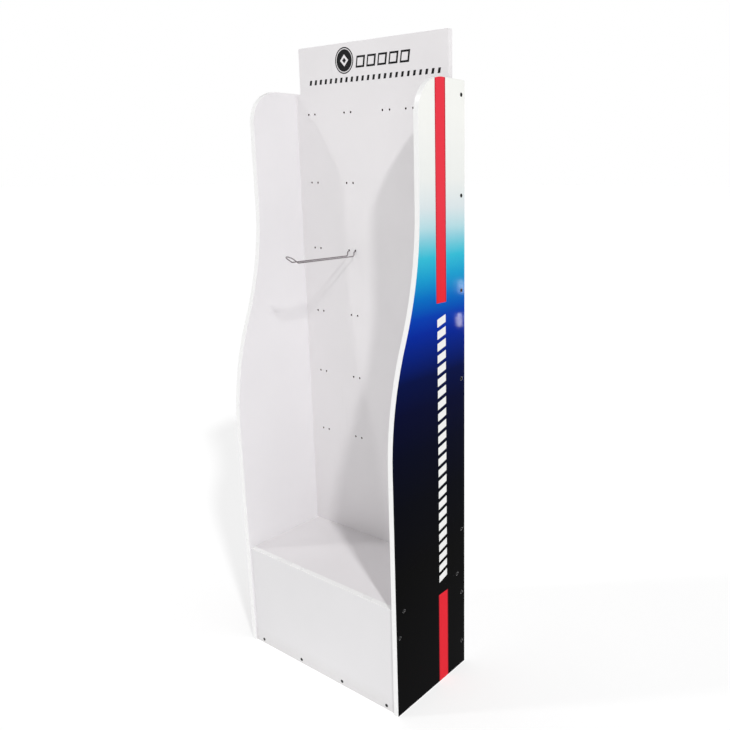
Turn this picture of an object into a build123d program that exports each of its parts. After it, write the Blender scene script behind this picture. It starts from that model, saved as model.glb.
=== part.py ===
from build123d import *
import os
from math import cos, radians, sin, tan

# Free-standing pegboard display stand made of laminated boards.
# Frame: origin at the middle of the footprint on the floor, +X to the right of someone
# facing the stand, -Y to the front, +Z up. Millimetres.

# boards
board = 15.0
bay_width = 570.0
depth = 300.0
side_height = 1635.0
overall_height = 1755.0
band = 1.0
band_softening = 0.45

# side panel outline
waist_depth = 118.0
curve_bottom = 700.0
curve_top = 1330.0
top_corner_radius = 90.0
rear_corner_radius = 5.0

# back panel
back_inset = 7.0
header_width = 536.0
shoulder_height = 1633.0
header_corner_radius = 3.0
board_softening = 0.8

# base box
deck_top = 312.0
kick_setback = 6.0
base_lift = 4.0

# printed films
film = 0.3
film_margin = 0.6
film_lift = 2.0

# hook holes, as pairs
hole_radius = 3.0
pair_pitch = 25.0
row_pitch = 189.0
top_row_height = 1576.0
row_count = 6
left_columns = (-224.0, -83.0)
top_row_columns = (-224.0, -83.0, 59.0, 140.0)
hook_column = -83.0
hook_row = 2

# double-wire hook
wire_radius = 1.6
prong_rest = 0.05
prong_depth = 13.0
hook_drop = 14.0
hook_reach = 215.0
tip_length = 31.0
tip_angle = 34.0
bend_radius = 6.0

# screws
head_radius = 5.0
sink_angle = 82.0
shank_radius = 2.0
pilot_clearance = 0.02
pilot_spare = 1.0
long_screw = 45.0
recess_width = 1.1
recess_span = 5.2
recess_depth = 1.5
point_length = 5.0
film_clearance = 0.3

# screw places
rear_screw_heights = (77.0, 236.0, 436.0, 877.0, 1116.0, 1358.0, 1600.0)
kick_screw_height = 233.0
deck_screw_depths = (32.0, 264.0)
base_screw_offsets = (-253.0, -84.0, 84.0, 253.0)
rear_deck_screw_offsets = (-200.0, 0.0, 200.0)

# header decoration
vinyl = 0.2
emblem_x = -88.0
emblem_height = 1710.0
emblem_radius = 34.0
emblem_groove = 31.0
emblem_face = 28.5
emblem_window = 22.0
emblem_pip = 10.0
frames_left = -46.0
frames_low = 1688.0
frame_count = 5
frame_width = 31.0
frame_height = 30.0
frame_pitch = 39.0
frame_stroke = 5.0
frame_lean = 5.0
dashes_left = -227.0
dashes_low = 1654.0
dash_count = 24
dash_width = 8.0
dash_height = 13.0
dash_pitch = 20.0
dash_lean = 3.0

# planes and faces that follow from the driving sizes
front = -depth / 2
rear = depth / 2
waist = front + waist_depth
inner_x = bay_width / 2
outer_x = inner_x + board
back_rear = rear - back_inset
back_front = back_rear - board
back_middle = (back_rear + back_front) / 2
deck_middle = deck_top - board / 2
kick_front = front + kick_setback
kick_rear = kick_front + board
kick_middle = (kick_front + kick_rear) / 2
base_middle = base_lift + board / 2
deck_screw_ys = [front + d for d in deck_screw_depths]
row_heights = [top_row_height - row_pitch * i for i in range(row_count)]
hook_height = row_heights[hook_row]
head_depth = (head_radius - shank_radius) / tan(radians(sink_angle / 2))
clear_radius = shank_radius + pilot_clearance
sink_radius = head_radius + pilot_clearance

os.makedirs("parts", exist_ok=True)


def finish(piece, label):
    piece.part.label = label
    export_step(piece.part, f"parts/{label}.step")


def sideways(side, y, z, x):
    """A plane on a side panel's face, looking outwards to the left (-1) or the right (1)."""
    return Plane(origin=(side * x, y, z), x_dir=(0, 1, 0), z_dir=(side, 0, 0))


def forwards(x, z, y):
    return Plane(origin=(x, y, z), x_dir=(1, 0, 0), z_dir=(0, -1, 0))


def backwards(x, z, y):
    return Plane(origin=(x, y, z), x_dir=(1, 0, 0), z_dir=(0, 1, 0))


# screw places, each with its outward direction
def side_screw_planes(side, x):
    rear_row = [sideways(side, back_middle, z, x) for z in rear_screw_heights]
    deck_row = [sideways(side, y, deck_middle, x) for y in deck_screw_ys]
    kick_row = [sideways(side, kick_middle, kick_screw_height, x)]
    return rear_row, deck_row, kick_row


def base_front_planes(y):
    return [forwards(x, base_middle, y) for x in base_screw_offsets]


def base_rear_planes(y):
    return [backwards(x, base_middle, y) for x in base_screw_offsets]


def rear_deck_planes(y):
    return [backwards(x, deck_middle, y) for x in rear_deck_screw_offsets]


def side_outline(inset, foot):
    """The side panel's outline in the YZ plane, drawn inside an open BuildLine."""
    y_front = front + inset
    y_waist = waist + inset
    y_rear = rear - inset
    z_top = side_height - inset
    middle = ((y_front + y_waist) / 2, (curve_bottom + curve_top) / 2)
    corner_start = (y_waist, side_height - top_corner_radius)
    corner_end = (y_waist + top_corner_radius - inset, z_top)
    rear_corner_start = (rear - rear_corner_radius, z_top)
    rear_corner_end = (y_rear, side_height - rear_corner_radius)
    Line((y_front, foot), (y_front, curve_bottom))
    TangentArc((y_front, curve_bottom), middle, tangent=(0, 1))
    TangentArc((y_waist, curve_top), middle, tangent=(0, -1))
    Line((y_waist, curve_top), corner_start)
    TangentArc(corner_start, corner_end, tangent=(0, 1))
    Line(corner_end, rear_corner_start)
    TangentArc(rear_corner_start, rear_corner_end, tangent=(1, 0))
    Line(rear_corner_end, (y_rear, foot))
    Line((y_rear, foot), (y_front, foot))


def make_side_panel(side, label):
    rear_row, deck_row, kick_row = side_screw_planes(side, outer_x)
    with BuildPart() as panel:
        with BuildSketch(Plane.YZ.offset(side * inner_x)):
            with BuildLine():
                side_outline(band, 0)
            make_face()
        extrude(amount=side * board)
        with Locations(*rear_row, *deck_row, *kick_row):
            CounterSinkHole(clear_radius, sink_radius, board, sink_angle)
    finish(panel, label)


def make_edge_band(side, label):
    """The strip round the front, top and rear edges, its long edges softened."""
    with BuildPart() as strip:
        with BuildSketch(Plane.YZ.offset(side * inner_x)):
            with BuildLine():
                side_outline(0, 0)
            make_face()
        extrude(amount=side * board)
        rims = strip.faces().filter_by(Axis.X).edges()
        fillet(rims.filter_by(lambda e: e.center().Z > band), band_softening)
        with BuildSketch(Plane.YZ.offset(side * inner_x)):
            with BuildLine():
                side_outline(band, 0)
            make_face()
        extrude(amount=side * board, mode=Mode.SUBTRACT)
    finish(strip, label)


def make_film(side, label):
    rear_row, deck_row, kick_row = side_screw_planes(side, outer_x + film)
    with BuildPart() as skin:
        with BuildSketch(Plane.YZ.offset(side * outer_x)):
            with BuildLine():
                side_outline(film_margin, film_lift)
            make_face()
        extrude(amount=side * film)
        with Locations(*rear_row, *deck_row, *kick_row):
            Hole(head_radius + film_clearance)
    finish(skin, label)


def make_back_panel():
    pairs = [(x, row_heights[0]) for x in top_row_columns]
    pairs += [(x, z) for z in row_heights[1:] for x in left_columns]
    hook_holes = [forwards(x + dx, z, back_front)
                  for x, z in pairs for dx in (-pair_pitch / 2, pair_pitch / 2)]
    edge_pilots = [sideways(side, back_middle, z, inner_x)
                   for side in (-1, 1) for z in rear_screw_heights]
    with BuildPart() as panel:
        with BuildSketch(Plane.XZ.offset(-back_rear)):
            with Locations((0, shoulder_height / 2)):
                Rectangle(bay_width, shoulder_height)
            with Locations((0, overall_height / 2)):
                Rectangle(header_width, overall_height)
        extrude(amount=board)
        header_corners = panel.edges().filter_by(Axis.Y).group_by(Axis.Z)[-1]
        fillet(header_corners, header_corner_radius)
        rims = panel.edges().filter_by(Plane.XZ)
        header_rims = rims.filter_by(lambda e: e.center().Z > shoulder_height)
        chamfer(header_rims, board_softening)
        with Locations(*hook_holes):
            Hole(hole_radius, board)
        with Locations(*edge_pilots):
            Hole(clear_radius, long_screw - board + pilot_spare)
        with Locations(*base_rear_planes(back_rear), *rear_deck_planes(back_rear)):
            CounterSinkHole(clear_radius, sink_radius, board, sink_angle)
    finish(panel, "back_panel")


def make_kick_panel():
    edge_pilots = [sideways(side, kick_middle, kick_screw_height, inner_x) for side in (-1, 1)]
    height = deck_top - band
    with BuildPart() as panel:
        with Locations((0, kick_middle, height / 2)):
            Box(bay_width, board, height)
        with Locations(*edge_pilots):
            Hole(clear_radius, long_screw - board + pilot_spare)
        with Locations(*base_front_planes(kick_front)):
            CounterSinkHole(clear_radius, sink_radius, board, sink_angle)
    finish(panel, "kick_panel")


def make_kick_band():
    """The strip along the kick panel's top edge, which shows beside the deck."""
    with BuildPart() as strip:
        with Locations((0, kick_middle, deck_top - band / 2)):
            Box(bay_width, board, band)
        top_edges = strip.faces().sort_by(Axis.Z)[-1].edges().filter_by(Axis.X)
        fillet(top_edges, band_softening)
    finish(strip, "kick_edge_band")


def make_base_board():
    with BuildPart() as panel:
        with Locations((0, (kick_rear + back_front) / 2, base_middle)):
            Box(bay_width, back_front - kick_rear, board)
        with Locations(*base_front_planes(kick_rear)):
            Hole(clear_radius, long_screw - board + pilot_spare)
        with Locations(*base_rear_planes(back_front)):
            Hole(clear_radius, long_screw - board + pilot_spare)
    finish(panel, "base_board")


def make_deck():
    end_pilots = [sideways(side, y, deck_middle, inner_x)
                  for side in (-1, 1) for y in deck_screw_ys]
    with BuildPart() as panel:
        with Locations((0, (kick_rear + back_front) / 2, deck_middle)):
            Box(bay_width, back_front - kick_rear, board)
        with Locations(*end_pilots, *rear_deck_planes(back_front)):
            Hole(clear_radius, long_screw - board + pilot_spare)
    finish(panel, "deck")


def make_screws(planes, length, label):
    """Countersunk screws with a crossed recess, one on each plane, heads flush with it."""
    with BuildPart(Plane.XY) as screw:
        with BuildSketch(Plane.XZ):
            with BuildLine():
                Polyline((0, 0), (head_radius, 0), (shank_radius, -head_depth),
                         (shank_radius, point_length - length), (0, -length), close=True)
            make_face()
        revolve(axis=Axis.Z)
        with BuildSketch(Plane.XY):
            Rectangle(recess_span, recess_width)
            Rectangle(recess_width, recess_span)
        extrude(amount=-recess_depth, mode=Mode.SUBTRACT)
    with BuildPart() as group:
        with Locations(*planes):
            add(screw.part)
    finish(group, label)


def make_emblem():
    """A disc with a ring and a diamond cut out of it."""
    with BuildPart() as emblem:
        with BuildSketch(Plane.XZ.offset(-back_front)):
            with Locations((emblem_x, emblem_height)):
                Circle(emblem_radius)
                Circle(emblem_groove, mode=Mode.SUBTRACT)
                Circle(emblem_face)
                Rectangle(emblem_window, emblem_window, rotation=45, mode=Mode.SUBTRACT)
                Rectangle(emblem_pip, emblem_pip, rotation=45)
        extrude(amount=vinyl)
    finish(emblem, "header_emblem")


def leaning_bar(width, height, lean, mode=Mode.ADD):
    """A parallelogram that leans to the right, with its lower left corner at the location."""
    corners = ((0, 0), (width, 0), (width + lean, height), (lean, height))
    Polygon(*corners, align=None, mode=mode)


def make_header_bars():
    """A row of leaning frames above a row of short leaning dashes."""
    window_width = frame_width - 2 * frame_stroke
    window_height = frame_height - 2 * frame_stroke
    window_lean = frame_lean * window_height / frame_height
    with BuildPart() as bars:
        with BuildSketch(Plane.XZ.offset(-back_front)):
            for i in range(frame_count):
                left = frames_left + frame_pitch * i
                with Locations((left, frames_low)):
                    leaning_bar(frame_width, frame_height, frame_lean)
                with Locations((left + frame_stroke, frames_low + frame_stroke)):
                    leaning_bar(window_width, window_height, window_lean, Mode.SUBTRACT)
            for i in range(dash_count):
                with Locations((dashes_left + dash_pitch * i, dashes_low)):
                    leaning_bar(dash_width, dash_height, dash_lean)
        extrude(amount=vinyl)
    finish(bars, "header_bars")


def wire_side(x):
    """Centre line of one wire, from its prong in the panel to the start of the closed tip."""
    drop_y = back_front - bend_radius
    prong_z = hook_height - (hole_radius - wire_radius - prong_rest)
    run_z = prong_z - hook_drop
    bend_y = back_front - hook_reach
    straight_tip = tip_length - pair_pitch / 2
    tip_y = bend_y - straight_tip * cos(radians(tip_angle))
    tip_z = run_z + straight_tip * sin(radians(tip_angle))
    return [(x, back_front + prong_depth, prong_z), (x, drop_y, prong_z),
            (x, drop_y, run_z), (x, bend_y, run_z), (x, tip_y, tip_z)]


def make_hook():
    left = wire_side(hook_column - pair_pitch / 2)
    right = wire_side(hook_column + pair_pitch / 2)
    tip_y, tip_z = left[-1][1:]
    apex = (hook_column, tip_y - pair_pitch / 2 * cos(radians(tip_angle)),
            tip_z + pair_pitch / 2 * sin(radians(tip_angle)))
    with BuildPart() as hook:
        with BuildLine():
            FilletPolyline(*left, radius=bend_radius)
            ThreePointArc(left[-1], apex, right[-1])
            FilletPolyline(*reversed(right), radius=bend_radius)
        with BuildSketch(Plane(origin=left[0], x_dir=(1, 0, 0), z_dir=(0, -1, 0))):
            Circle(wire_radius)
        sweep()
        prong_ends = hook.faces().filter_by(Axis.Y).sort_by(Axis.Y)[-2:]
        chamfer(prong_ends.edges(), board_softening)
    finish(hook, "double_hook")


side_names = {-1: "left", 1: "right"}
for side, name in side_names.items():
    make_side_panel(side, f"{name}_side_panel")
    make_edge_band(side, f"{name}_edge_band")
    make_film(side, f"{name}_side_film")
    rear_row, deck_row, kick_row = side_screw_planes(side, outer_x)
    make_screws(rear_row, long_screw, f"{name}_rear_screws")
    make_screws(deck_row, long_screw, f"{name}_deck_screws")
    make_screws(kick_row, long_screw, f"{name}_kick_screw")

make_back_panel()
make_kick_panel()
make_base_board()
make_kick_band()
make_deck()
make_screws(base_front_planes(kick_front), long_screw, "base_front_screws")
make_screws(base_rear_planes(back_rear), long_screw, "base_rear_screws")
make_screws(rear_deck_planes(back_rear), long_screw, "rear_deck_screws")
make_emblem()
make_header_bars()
make_hook()
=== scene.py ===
import math
import bpy
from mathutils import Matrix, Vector


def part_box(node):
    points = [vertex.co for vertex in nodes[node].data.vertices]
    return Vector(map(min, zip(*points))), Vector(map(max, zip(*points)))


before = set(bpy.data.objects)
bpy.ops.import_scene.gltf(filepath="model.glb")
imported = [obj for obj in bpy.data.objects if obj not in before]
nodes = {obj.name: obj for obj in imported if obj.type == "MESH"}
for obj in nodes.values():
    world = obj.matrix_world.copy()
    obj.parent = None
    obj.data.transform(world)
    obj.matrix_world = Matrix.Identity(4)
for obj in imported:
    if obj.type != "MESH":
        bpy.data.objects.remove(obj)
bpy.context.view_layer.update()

scene = bpy.context.scene
scene.view_settings.view_transform = "Standard"
print("frame loaded:", len(nodes), "nodes")


# small helpers for node trees
def freshMaterial(name):
    made = bpy.data.materials.new(name)
    made.use_nodes = True
    made.node_tree.nodes.clear()
    return made


def addNode(made, kind, inputs=None, **settings):
    node = made.node_tree.nodes.new(kind)
    for key, value in settings.items():
        setattr(node, key, value)
    for key, value in (inputs or {}).items():
        node.inputs[key].default_value = value
    return node


def link(made, start, outName, end, inName):
    made.node_tree.links.new(start.outputs[outName], end.inputs[inName])


def surface(made, inputs):
    shader = addNode(made, "ShaderNodeBsdfPrincipled", inputs)
    out = addNode(made, "ShaderNodeOutputMaterial")
    link(made, shader, "BSDF", out, "Surface")
    return shader


def placed(made, stretch=(1, 1, 1)):
    # object coordinates, stretched so that a pattern can run along a board
    coords = addNode(made, "ShaderNodeTexCoord")
    mapping = addNode(made, "ShaderNodeMapping", {"Scale": stretch})
    link(made, coords, "Object", mapping, "Vector")
    return mapping


def noise(made, place, scale, detail=3.0, rough=0.5):
    node = addNode(made, "ShaderNodeTexNoise", {"Scale": scale, "Detail": detail, "Roughness": rough})
    link(made, place, "Vector", node, "Vector")
    return node


def ramp(made, source, outName, stops):
    node = addNode(made, "ShaderNodeValToRGB")
    ends = node.color_ramp.elements
    while len(ends) < len(stops):
        ends.new(0.5)
    for end, (position, colour) in zip(ends, stops):
        end.position = position
        end.color = (*colour, 1.0)
    link(made, source, outName, node, "Fac")
    return node


def spread(made, source, outName, low, high, toLow, toHigh):
    # a value stretched from one range to another, and held inside it
    limits = {"From Min": low, "From Max": high, "To Min": toLow, "To Max": toHigh}
    node = addNode(made, "ShaderNodeMapRange", limits)
    link(made, source, outName, node, "Value")
    return node


def blendColours(made, factor, factorOut, first, second, kind="MIX"):
    # first and second are a node with its output name, or a plain colour
    node = addNode(made, "ShaderNodeMix", data_type="RGBA", blend_type=kind)
    # a Mix node's sockets 0, 6 and 7 are the ones it uses for colours
    factorSocket, firstSocket, secondSocket = node.inputs[0], node.inputs[6], node.inputs[7]
    made.node_tree.links.new(factor.outputs[factorOut], factorSocket)
    for socket, value in ((firstSocket, first), (secondSocket, second)):
        if isinstance(value[0], bpy.types.Node):
            made.node_tree.links.new(value[0].outputs[value[1]], socket)
        else:
            socket.default_value = (*value, 1.0)
    return node


def bumped(made, shader, height, outName, strength, distance):
    node = addNode(made, "ShaderNodeBump", {"Strength": strength, "Distance": distance})
    link(made, height, outName, node, "Height")
    link(made, node, "Normal", shader, "Normal")


usual = (0.3, 0.7)  # a noise value seldom falls outside this


def roughened(made, shader, source, roughness):
    rough = spread(made, source, "Fac", *usual, *roughness)
    link(made, rough, "Result", shader, "Roughness")


def tinted(made, shader, source, band, colours):
    # two colours that follow a noise across a band of its values
    colour = ramp(made, source, "Fac", list(zip(band, colours)))
    link(made, colour, "Color", shader, "Base Color")


def compute(made, operation, first, second=None):
    # a Math node; each side is a number or a node with its output name
    node = addNode(made, "ShaderNodeMath", operation=operation)
    for socket, value in zip(node.inputs, (first, second)):
        if isinstance(value, tuple):
            made.node_tree.links.new(value[0].outputs[value[1]], socket)
        elif value is not None:
            socket.default_value = value
    return (node, "Value")


# laminated boards
laminate = {
    "specular": 0.35,
    "mottle": {"scale": 2.2, "detail": 4.0},  # broad, faint clouding of the sheet
    "mottleBand": (0.35, 0.65), "mottleDepth": 0.955,
    "streakStretch": (1.0, 1.0, 0.12),  # rubbed streaks, longer up and down than across
    "streaks": {"scale": 28.0, "detail": 6.0, "rough": 0.62},
    "streakBand": (0.66, 0.78), "streakDepth": 0.93,
    "bottomSpeckleTop": 0.05, "bottomSpeckleShare": 0.42,  # darker speckles towards the floor
    "bottomSpeckleColour": (0.52, 0.50, 0.47),
    "speckle": {"scale": 90.0, "detail": 5.0},
    "patches": {"scale": 9.0, "detail": 5.0}, "roughness": (0.36, 0.52),
    "grain": {"scale": 700.0, "detail": 2.0},  # the pressed satin texture
    "grainStrength": 0.25, "grainHeight": 0.00012}
drilled = {"coreWithPaintedShade": (0.085, 0.055, 0.035), "skin": 0.0004, "halfWidth": 0.26, "low": 0.33, "high": 1.61}


def holeCorePaintedShadeMask(made, place):
    # the bare chipboard inside the hook holes, between the two laminated faces; its colour is chipboard brown
    # darkened with painted shade for the deep holes
    low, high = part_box("back_panel")
    split = addNode(made, "ShaderNodeSeparateXYZ")
    link(made, place, "Vector", split, "Vector")
    across, through, up = (split, "X"), (split, "Y"), (split, "Z")
    tests = [
        compute(made, "GREATER_THAN", through, low.y + drilled["skin"]),
        compute(made, "LESS_THAN", through, high.y - drilled["skin"]),
        compute(made, "LESS_THAN", compute(made, "ABSOLUTE", across), drilled["halfWidth"]),
        compute(made, "GREATER_THAN", up, drilled["low"]),
        compute(made, "LESS_THAN", up, drilled["high"])]
    inside = tests[0]
    for test in tests[1:]:
        inside = compute(made, "MULTIPLY", inside, test)
    return inside


def laminateMaterial(name, colour, isDrilled=False):
    made = freshMaterial(name)
    shader = surface(made, {"Specular IOR Level": laminate["specular"]})
    place = placed(made)
    mottle = noise(made, place, **laminate["mottle"])
    darker = tuple(c * laminate["mottleDepth"] for c in colour)
    base = ramp(made, mottle, "Fac", list(zip(laminate["mottleBand"], (darker, colour))))

    streaks = noise(made, placed(made, laminate["streakStretch"]), **laminate["streaks"])
    rubbed = spread(made, streaks, "Fac", *laminate["streakBand"], 0.0, 1.0)
    streakColour = tuple(c * laminate["streakDepth"] for c in colour)
    worn = blendColours(made, rubbed, "Result", (base, "Color"), streakColour)

    split = addNode(made, "ShaderNodeSeparateXYZ")
    link(made, place, "Vector", split, "Vector")
    # darker speckles in the bottom few centimetres of each board
    nearFloor = spread(made, split, "Z", 0.0, laminate["bottomSpeckleTop"], laminate["bottomSpeckleShare"], 0.0)
    speckle = noise(made, place, **laminate["speckle"])
    bottomSpeckle = compute(made, "MULTIPLY", (nearFloor, "Result"), (speckle, "Fac"))
    faced = blendColours(made, bottomSpeckle[0], "Value", (worn, "Result"), laminate["bottomSpeckleColour"])
    if isDrilled:
        # hole cores: chipboard brown, darkened with painted shade
        faced = blendColours(made, holeCorePaintedShadeMask(made, place)[0], "Value", (faced, "Result"), drilled["coreWithPaintedShade"])
    link(made, faced, "Result", shader, "Base Color")

    roughened(made, shader, noise(made, place, **laminate["patches"]), laminate["roughness"])
    grain = noise(made, place, **laminate["grain"])
    bumped(made, shader, grain, "Fac", laminate["grainStrength"], laminate["grainHeight"])
    return made


# edge strips
tape = {
    "specular": 0.5, "shade": (0.845, 0.845, 0.84), "colour": (0.87, 0.87, 0.865), "colourBand": (0.3, 0.62),
    "lineStretch": (1.0, 0.06, 0.06),  # faint lines drawn along the strip
    "lines": {"scale": 900.0, "detail": 4.0}, "lineStrength": 0.3, "lineHeight": 0.00004,
    "handling": {"scale": 14.0, "detail": 5.0}, "roughness": (0.2, 0.42)}


def tapeMaterial(name):
    made = freshMaterial(name)
    shader = surface(made, {"Specular IOR Level": tape["specular"]})
    lines = noise(made, placed(made, tape["lineStretch"]), **tape["lines"])
    tinted(made, shader, lines, tape["colourBand"], (tape["shade"], tape["colour"]))
    roughened(made, shader, noise(made, placed(made), **tape["handling"]), tape["roughness"])
    bumped(made, shader, lines, "Fac", tape["lineStrength"], tape["lineHeight"])
    return made


# printed side films
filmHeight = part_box("right_side_panel")[1].z
printed = {
    "fade": [  # height in metres and colour, from the floor up
        (0.40, (0.0016, 0.0016, 0.0018)), (0.59, (0.0012, 0.0016, 0.0045)), (0.725, (0.0010, 0.0018, 0.011)),
        (0.833, (0.0010, 0.0022, 0.023)), (0.912, (0.0010, 0.0045, 0.050)), (0.989, (0.0012, 0.015, 0.20)),
        (1.028, (0.0012, 0.021, 0.29)), (1.065, (0.0014, 0.042, 0.38)), (1.115, (0.0018, 0.14, 0.48)),
        (1.164, (0.0100, 0.30, 0.55)), (1.212, (0.034, 0.45, 0.60)), (1.236, (0.12, 0.51, 0.62)),
        (1.260, (0.25, 0.56, 0.65)), (1.284, (0.42, 0.64, 0.69)), (1.331, (0.63, 0.70, 0.72)),
        (1.400, (0.76, 0.775, 0.755)), (1.55, (0.82, 0.825, 0.795))],
    "stripeMiddle": 0.050, "stripeHalf": 0.0205, "stripeEdge": 0.003,
    "upperStripe": 1.095, "lowerStripe": 0.277,
    "reds": [  # share of the height and colour
        (0.2, (0.70, 0.020, 0.034)), (0.68, (0.72, 0.022, 0.034)), (0.82, (0.74, 0.040, 0.062))],
    "edgeRed": (0.40, 0.014, 0.024),  # the stripe's darker edges
    "barsLow": 0.319, "barCount": 24, "barHalf": 0.0172,
    "barPitch": 0.03125, "barShare": 0.66, "barSlope": 0.30,
    "white": (0.78, 0.78, 0.77)}
film = {
    "indexOfRefraction": 1.07,  # a weak gloss
    "drift": {"scale": 5.0, "detail": 3.0}, "wave": 0.006,  # the fade isn't perfectly level
    "scratchStretch": (1.0, 1.0, 0.08),  # short handling scratches and dust
    "scratches": {"scale": 160.0, "detail": 8.0, "rough": 0.7},
    "scratchBand": (0.70, 0.82), "scratchShare": 0.012, "scratchColour": (0.6, 0.6, 0.6),
    "smears": {"scale": 6.0, "detail": 6.0}, "roughness": (0.04, 0.09),
    "ripple": {"scale": 22.0, "detail": 2.0},  # the film follows the board, not quite flat
    "rippleStrength": 0.12, "rippleHeight": 0.0006}


def product(made, first, *others):
    result = first
    for other in others:
        result = compute(made, "MULTIPLY", result, other)
    return result


def stripeMask(made, up, aside):
    above = compute(made, "GREATER_THAN", up, printed["upperStripe"])
    below = compute(made, "LESS_THAN", up, printed["lowerStripe"])
    inStripe = compute(made, "LESS_THAN", aside, printed["stripeHalf"])
    return product(made, inStripe, compute(made, "MAXIMUM", above, below))


def barMask(made, up, fromMiddle, aside):
    # whole leaning bars, plain and evenly spaced, between the two red stretches
    offset = compute(made, "SUBTRACT", up, printed["barsLow"])
    lean = compute(made, "MULTIPLY", fromMiddle, printed["barSlope"])
    turns = compute(made, "DIVIDE", compute(made, "SUBTRACT", offset, lean), printed["barPitch"])
    inBar = compute(made, "LESS_THAN", compute(made, "FRACT", turns), printed["barShare"])
    afterFirst = compute(made, "GREATER_THAN", turns, 0.0)
    beforeLast = compute(made, "LESS_THAN", turns, printed["barCount"])
    inColumn = compute(made, "LESS_THAN", aside, printed["barHalf"])
    return product(made, inColumn, afterFirst, beforeLast, inBar)


def printMaterial(name):
    made = freshMaterial(name)
    shader = surface(made, {"IOR": film["indexOfRefraction"]})
    place = placed(made)
    split = addNode(made, "ShaderNodeSeparateXYZ")
    link(made, place, "Vector", split, "Vector")
    up, across = (split, "Z"), (split, "Y")

    drift = noise(made, place, **film["drift"])
    shifted = spread(made, drift, "Fac", 0.0, 1.0, -film["wave"], film["wave"])
    height = compute(made, "ADD", up, (shifted, "Result"))
    share = compute(made, "DIVIDE", height, filmHeight)
    fade = ramp(made, share[0], "Value", [(z / filmHeight, colour) for z, colour in printed["fade"]])

    fromMiddle = compute(made, "SUBTRACT", across, printed["stripeMiddle"])
    aside = compute(made, "ABSOLUTE", fromMiddle)
    inEdge = compute(made, "GREATER_THAN", aside, printed["stripeHalf"] - printed["stripeEdge"])
    reds = ramp(made, share[0], "Value", printed["reds"])
    edged = blendColours(made, inEdge[0], "Value", (reds, "Color"), printed["edgeRed"])
    inStripe = stripeMask(made, up, aside)
    striped = blendColours(made, inStripe[0], "Value", (fade, "Color"), (edged, "Result"))
    inBars = barMask(made, up, fromMiddle, aside)
    marked = blendColours(made, inBars[0], "Value", (striped, "Result"), printed["white"])

    scratches = noise(made, placed(made, film["scratchStretch"]), **film["scratches"])
    fine = spread(made, scratches, "Fac", *film["scratchBand"], 0.0, film["scratchShare"])
    scratched = blendColours(made, fine, "Result", (marked, "Result"), film["scratchColour"])
    link(made, scratched, "Result", shader, "Base Color")
    roughened(made, shader, noise(made, place, **film["smears"]), film["roughness"])
    ripple = noise(made, place, **film["ripple"])
    bumped(made, shader, ripple, "Fac", film["rippleStrength"], film["rippleHeight"])
    return made


# metal and vinyl
screws = {
    "metallic": 0.3, "specular": 0.2, "shade": (0.005, 0.005, 0.006), "colour": (0.015, 0.015, 0.016),
    "turning": {"scale": 1500.0, "detail": 3.0}, "turningStrength": 0.3, "turningHeight": 0.00004,
    "wear": {"scale": 420.0, "detail": 4.0}, "roughness": (0.16, 0.38)}


def screwMaterial(name):
    made = freshMaterial(name)
    shader = surface(made, {"Metallic": screws["metallic"], "Specular IOR Level": screws["specular"]})
    place = placed(made)
    turned = noise(made, place, **screws["turning"])
    tinted(made, shader, turned, usual, (screws["shade"], screws["colour"]))
    roughened(made, shader, noise(made, place, **screws["wear"]), screws["roughness"])
    bumped(made, shader, turned, "Fac", screws["turningStrength"], screws["turningHeight"])
    return made


# the wire's colours are darker than bright chrome: painted shade for the dark surroundings it reflects
wire = {
    "metallic": 1.0, "shade": (0.24, 0.22, 0.23), "colour": (0.40, 0.37, 0.38),
    "drawStretch": (1.0, 0.05, 1.0),  # drawn lines run along the wire
    "drawing": {"scale": 1200.0, "detail": 4.0}, "drawingStrength": 0.15, "drawingHeight": 0.00003,
    "smears": {"scale": 120.0, "detail": 5.0}, "roughness": (0.07, 0.2)}


def wireMaterial(name):
    made = freshMaterial(name)
    shader = surface(made, {"Metallic": wire["metallic"]})
    drawn = noise(made, placed(made, wire["drawStretch"]), **wire["drawing"])
    tinted(made, shader, drawn, usual, (wire["shade"], wire["colour"]))
    roughened(made, shader, noise(made, placed(made), **wire["smears"]), wire["roughness"])
    bumped(made, shader, drawn, "Fac", wire["drawingStrength"], wire["drawingHeight"])
    return made


vinyl = {
    "specular": 0.15, "clean": (0.006, 0.006, 0.007), "dusty": (0.022, 0.022, 0.024), "dustBand": (0.45, 0.8),
    "dust": {"scale": 300.0, "detail": 6.0}, "dustStrength": 0.15, "dustHeight": 0.00005,
    "patches": {"scale": 40.0, "detail": 4.0}, "roughness": (0.32, 0.5)}


def vinylMaterial(name):
    made = freshMaterial(name)
    shader = surface(made, {"Specular IOR Level": vinyl["specular"]})
    place = placed(made)
    dust = noise(made, place, **vinyl["dust"])
    tinted(made, shader, dust, vinyl["dustBand"], (vinyl["clean"], vinyl["dusty"]))
    roughened(made, shader, noise(made, place, **vinyl["patches"]), vinyl["roughness"])
    bumped(made, shader, dust, "Fac", vinyl["dustStrength"], vinyl["dustHeight"])
    return made


def dress(names, made):
    for name in names:
        data = nodes[name].data
        data.materials.clear()
        data.materials.append(made)
        for face in data.polygons:
            face.material_index = 0


sides = ("left", "right")
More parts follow.
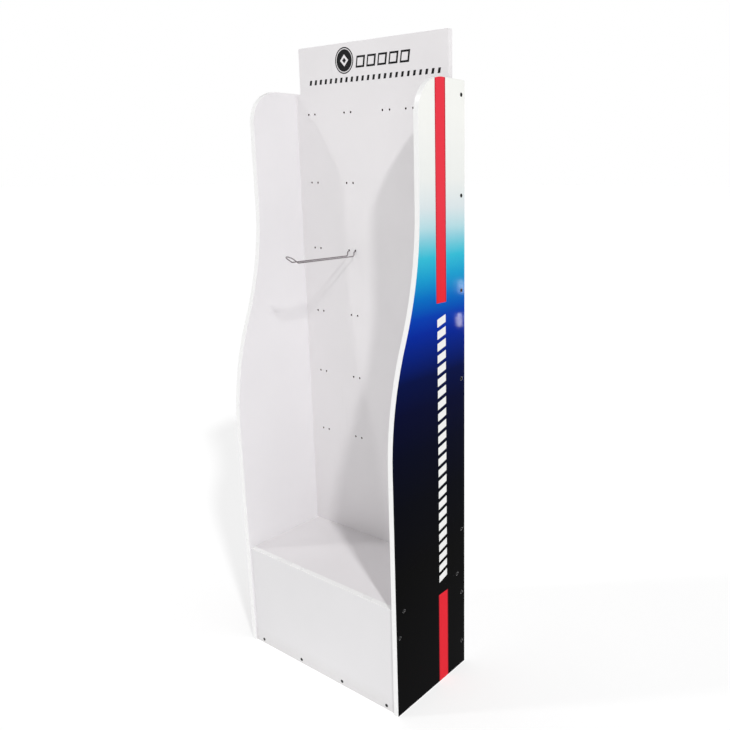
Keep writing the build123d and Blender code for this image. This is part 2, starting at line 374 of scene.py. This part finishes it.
# every board is one white laminate: its faint lavender tint and the darker bay, kick and drilled copies are
# painted shade
sideBoard = laminateMaterial("whiteLaminateSide", (0.80, 0.785, 0.80))
bayBoardPaintedShade = laminateMaterial("whiteLaminateBayPaintedShade", (0.785, 0.765, 0.775))
kickBoardPaintedShade = laminateMaterial("whiteLaminateKickPaintedShade", (0.745, 0.735, 0.745))
drilledBoardPaintedShade = laminateMaterial("whiteLaminateDrilledPaintedShade", (0.79, 0.77, 0.78), isDrilled=True)
dress([f"{side}_side_panel" for side in sides], sideBoard)
dress(["back_panel"], drilledBoardPaintedShade)
dress(["deck", "base_board"], bayBoardPaintedShade)
dress(["kick_panel"], kickBoardPaintedShade)
dress([f"{side}_edge_band" for side in sides] + ["kick_edge_band"], tapeMaterial("whiteEdgeStrip"))
for side in sides:
    dress([f"{side}_side_film"], printMaterial(f"{side}PrintedFilm"))
dress([name for name in nodes if "screw" in name], screwMaterial("blackenedScrew"))
dress(["header_emblem", "header_bars"], vinylMaterial("blackVinyl"))
dress(["double_hook"], wireMaterial("darkenedWirePaintedShade"))
print("CAD nodes dressed")


# floor, light and camera
floorPlan = {
    "size": 200.0, "colour": (0.46, 0.46, 0.46), "shade": (0.45, 0.45, 0.45), "roughness": 0.85,
    "cloud": {"scale": 1.5, "detail": 4.0}, "glow": 0.62}  # the glow keeps the floor near white


def makeFloor():
    bpy.ops.object.select_all(action="DESELECT")
    bpy.ops.mesh.primitive_plane_add(size=floorPlan["size"], location=(0, 0, 0))
    floor = bpy.context.object
    floor.name = "studioFloor"
    made = freshMaterial("paleFloor")
    shader = surface(made, {
        "Roughness": floorPlan["roughness"], "Specular IOR Level": 0.0,
        "Emission Color": (1.0, 1.0, 1.0, 1.0), "Emission Strength": floorPlan["glow"]})
    cloud = noise(made, placed(made), **floorPlan["cloud"])
    tinted(made, shader, cloud, usual, (floorPlan["shade"], floorPlan["colour"]))
    floor.data.materials.append(made)


lightPlan = {
    "backdrop": 1.0, "level": 0.62, "overhead": 0.44,  # brightness of the backdrop, the walls and the ceiling
    "levelTop": 0.15, "overheadFrom": 0.75,  # heights on the sky dome, 0 level and 1 straight up
    "rightKey": {"bearing": 61, "height": 38, "spread": 3.5, "strength": 1.55},
    "leftKey": {"bearing": -48, "height": 40, "spread": 4, "strength": 0.45}}
glints = [(2.017, 2.484, 0.701), (2.017, 2.459, 0.485)]  # two small lamps seen in the right film
glintPlan = {"aim": (0.30, 0.135, 1.08), "width": 0.025, "height": 0.085, "power": 0.8}


def hangLamp(name, lamp, place, turn):
    holder = bpy.data.objects.new(name, lamp)
    scene.collection.objects.link(holder)
    holder.location = place
    holder.rotation_euler = turn
    holder.visible_camera = False


def makeKey(name, bearing, height, spread, strength):
    # bearing in degrees from the front towards the right, height in degrees above level
    lamp = bpy.data.lights.new(name, "SUN")
    lamp.angle = math.radians(spread)
    lamp.energy = strength
    turn = (math.radians(90 - height), 0, math.radians(bearing))
    hangLamp(name, lamp, (0, 0, filmHeight), turn)


def makeGlint(name, place):
    lamp = bpy.data.lights.new(name, "AREA")
    lamp.shape = "RECTANGLE"
    lamp.size, lamp.size_y = glintPlan["width"], glintPlan["height"]
    lamp.energy = glintPlan["power"]
    aim = Vector(glintPlan["aim"]) - Vector(place)
    hangLamp(name, lamp, place, aim.to_track_quat("-Z", "Y").to_euler())


def makeSky():
    # a plain white backdrop, with room light that falls off towards the ceiling
    world = bpy.data.worlds.new("paleStudio")
    world.use_nodes = True
    tree = world.node_tree
    room = tree.nodes["Background"]
    coords = tree.nodes.new("ShaderNodeTexCoord")
    split = tree.nodes.new("ShaderNodeSeparateXYZ")
    tree.links.new(coords.outputs["Generated"], split.inputs["Vector"])
    fall = tree.nodes.new("ShaderNodeMapRange")
    fall.inputs["From Min"].default_value = lightPlan["levelTop"]
    fall.inputs["From Max"].default_value = lightPlan["overheadFrom"]
    fall.inputs["To Min"].default_value = lightPlan["level"]
    fall.inputs["To Max"].default_value = lightPlan["overhead"]
    tree.links.new(split.outputs["Z"], fall.inputs["Value"])
    tree.links.new(fall.outputs["Result"], room.inputs["Strength"])
    backdrop = tree.nodes.new("ShaderNodeBackground")
    for light in (room, backdrop):
        light.inputs["Color"].default_value = (1.0, 1.0, 1.0, 1.0)
    backdrop.inputs["Strength"].default_value = lightPlan["backdrop"]
    path = tree.nodes.new("ShaderNodeLightPath")
    either = tree.nodes.new("ShaderNodeMixShader")
    tree.links.new(path.outputs["Is Camera Ray"], either.inputs["Fac"])
    tree.links.new(room.outputs["Background"], either.inputs[1])
    tree.links.new(backdrop.outputs["Background"], either.inputs[2])
    tree.links.new(either.outputs["Shader"], tree.nodes["World Output"].inputs["Surface"])
    scene.world = world


view = {
    "at": (1.4445, -1.4259, 1.4079),
    "turn": 36.12, "down": 13.96,  # degrees towards -X, and below level
    "lens": 36.77, "shift": (-0.134, -0.006)}


def makeCamera():
    data = bpy.data.cameras.new("productCamera")
    data.lens = view["lens"]
    data.shift_x, data.shift_y = view["shift"]
    holder = bpy.data.objects.new("productCamera", data)
    scene.collection.objects.link(holder)
    holder.location = view["at"]
    holder.rotation_euler = (math.radians(90 - view["down"]), 0, math.radians(view["turn"]))
    scene.camera = holder


makeFloor()
makeSky()
for lampName in ("rightKey", "leftKey"):
    makeKey(lampName, **lightPlan[lampName])
for number, place in enumerate(glints, 1):
    makeGlint(f"glint{number}", place)
makeCamera()
print("stage, lights and camera made")
